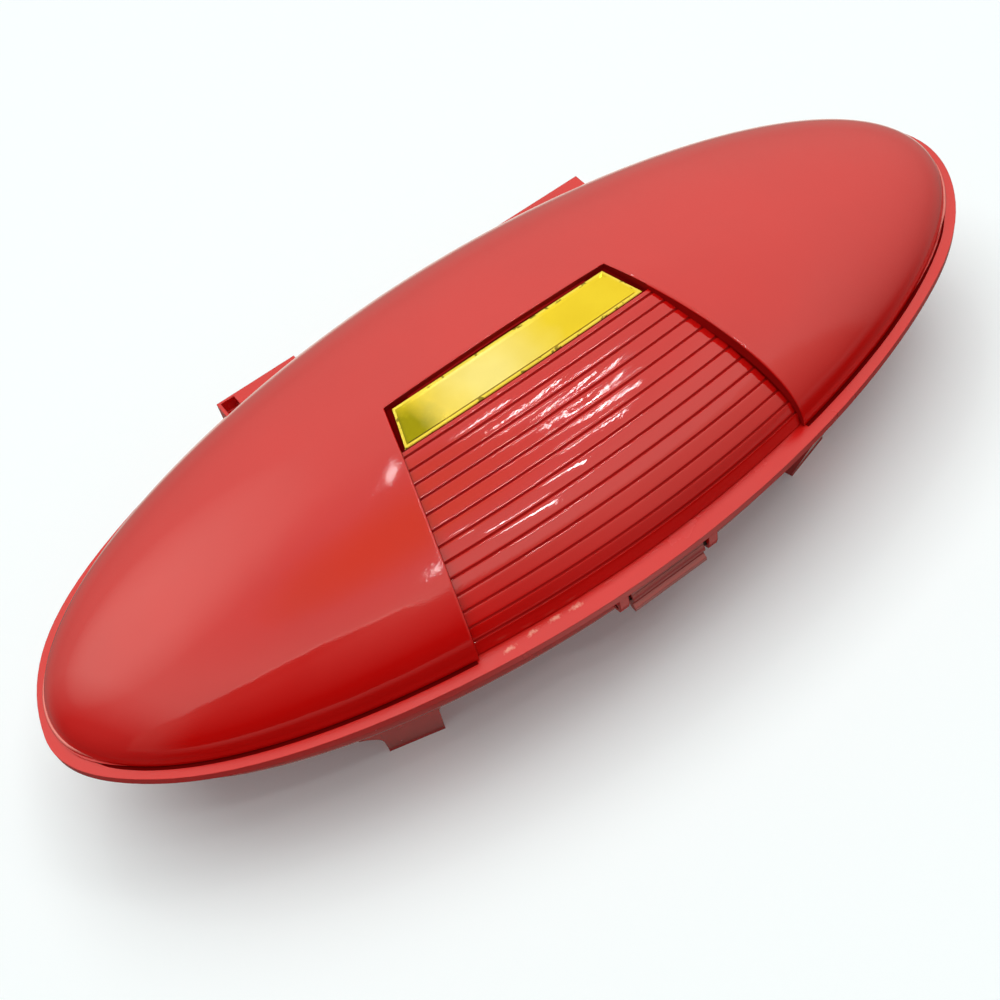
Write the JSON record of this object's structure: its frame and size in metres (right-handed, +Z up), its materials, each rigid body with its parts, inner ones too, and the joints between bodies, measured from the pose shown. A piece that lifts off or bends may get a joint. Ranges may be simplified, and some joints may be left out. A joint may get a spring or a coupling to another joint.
{
  "type": "buttonholer case",
  "caption": "Long oval clamshell case of glossy red plastic on moulded feet, with a ribbed front panel, a gold plate, a rear hinge, a front latch and a fitted tray for a buttonholer and its templates",
  "frame": {"origin": "on the floor under the middle of the closed case's bounding box", "axes": "+X along the length to the right as the front is seen, +Y towards the hinge at the back, +Z up"},
  "size_m": [0.2732, 0.113, 0.0719],
  "materials": {
    "red_plastic": "glossy moulded plastic with fine scratches",
    "gold_plate": "polished gold coloured plate with a raised border",
    "spring_steel": "plain spring steel",
    "pin_steel": "bright steel",
    "tray_plastic": "matt cream moulded plastic",
    "template_steel": "bright plated steel"
  },
  "bodies": {
    "base": {"base_shell": "red_plastic", "hinge_pin": "pin_steel", "latch_pin": "pin_steel", "latch_spring": "spring_steel", "inner_tray": "tray_plastic", "tray_screws": "pin_steel", "template_rack": "tray_plastic"},
    "lid": {"lid_shell": "red_plastic", "name_plate": "gold_plate", "name_plate_push_nuts": "spring_steel"},
    "latch": {"latch_lever": "red_plastic"},
    "template_a": {"template_one": "template_steel"},
    "template_b": {"template_two": "template_steel"},
    "template_c": {"template_three": "template_steel"},
    "template_d": {"template_four": "template_steel"},
    "template_e": {"template_five": "template_steel"},
    "cover_plate": {"feed_cover_plate": "template_steel"},
    "cover_screw": {"cover_plate_screw": "pin_steel"}
  },
  "joints": [
    {"name": "lid_hinge", "type": "hinge", "parent": "base", "child": "lid", "pos_m": [0, 0.0547, 0.043], "axis": [-1, 0, 0], "range_deg": [0, 95]},
    {"name": "latch_press", "type": "hinge", "parent": "base", "child": "latch", "pos_m": [0, -0.0545, 0.0375], "axis": [1, 0, 0], "range_deg": [0, 18], "stiffness_Nm_per_rad": 0.02, "deforming": ["latch_spring"]},
    {"name": "template_one_lift", "type": "slide", "parent": "base", "child": "template_a", "axis": [0, 0, 1], "range_m": [0, 0.007]},
    {"name": "template_two_lift", "type": "slide", "parent": "base", "child": "template_b", "axis": [0, 0, 1], "range_m": [0, 0.007]},
    {"name": "template_three_lift", "type": "slide", "parent": "base", "child": "template_c", "axis": [0, 0, 1], "range_m": [0, 0.007]},
    {"name": "template_four_lift", "type": "slide", "parent": "base", "child": "template_d", "axis": [0, 0, 1], "range_m": [0, 0.007]},
    {"name": "template_five_lift", "type": "slide", "parent": "base", "child": "template_e", "axis": [0, 0, 1], "range_m": [0, 0.007]},
    {"name": "cover_plate_lift", "type": "slide", "parent": "base", "child": "cover_plate", "axis": [0, 0, 1], "range_m": [0, 0.008]},
    {"name": "cover_screw_lift", "type": "slide", "parent": "cover_plate", "child": "cover_screw", "axis": [0, 0, 1], "range_m": [0, 0.0095]}
  ]
}
